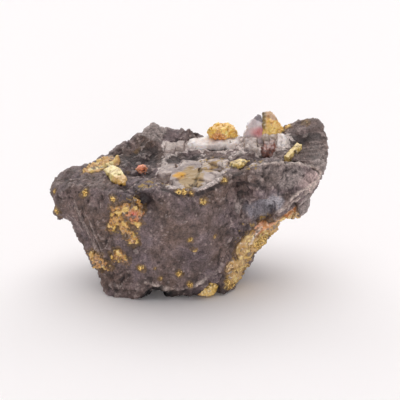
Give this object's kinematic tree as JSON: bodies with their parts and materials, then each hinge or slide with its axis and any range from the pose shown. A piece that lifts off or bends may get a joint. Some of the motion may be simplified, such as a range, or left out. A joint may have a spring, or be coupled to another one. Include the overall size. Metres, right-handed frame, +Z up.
{
  "type": "realgar and orpiment specimen",
  "caption": "Mineral hand specimen: yellow orpiment, orange realgar and milky quartz crystals on a boat-shaped lump of dark grey rock that stands on a flat broken base.",
  "frame": {"origin": "middle of the bounding box, at the level of the flat base that it rests on", "axes": "+X along the specimen's length to its right, -Y towards its broad front face, +Z up"},
  "size_m": [0.0704, 0.0366, 0.0404],
  "materials": {
    "rock": "matte",
    "quartz": "satin",
    "clear_quartz": "gloss",
    "orpiment": "satin",
    "orpiment_crust": "matte",
    "realgar": "satin"
  },
  "bodies": {
    "root": {"matrix": "rock", "quartz_ledge": "quartz", "quartz_left": "quartz", "quartz_front": "quartz", "quartz_middle": "quartz", "quartz_right": "quartz", "quartz_crystal": "clear_quartz", "orpiment_crystal": "orpiment", "orpiment_cluster": "orpiment", "orpiment_blade_left": "orpiment", "orpiment_crust_left": "orpiment_crust", "orpiment_blade_right": "orpiment", "orpiment_blade_middle": "orpiment", "orpiment_patch_front": "orpiment_crust", "orpiment_seam": "orpiment_crust", "orpiment_crust_foot": "orpiment_crust", "orpiment_spot_front": "orpiment_crust", "orpiment_lump": "orpiment", "realgar_brown": "realgar", "realgar_grain": "realgar"}
  },
  "joints": []
}
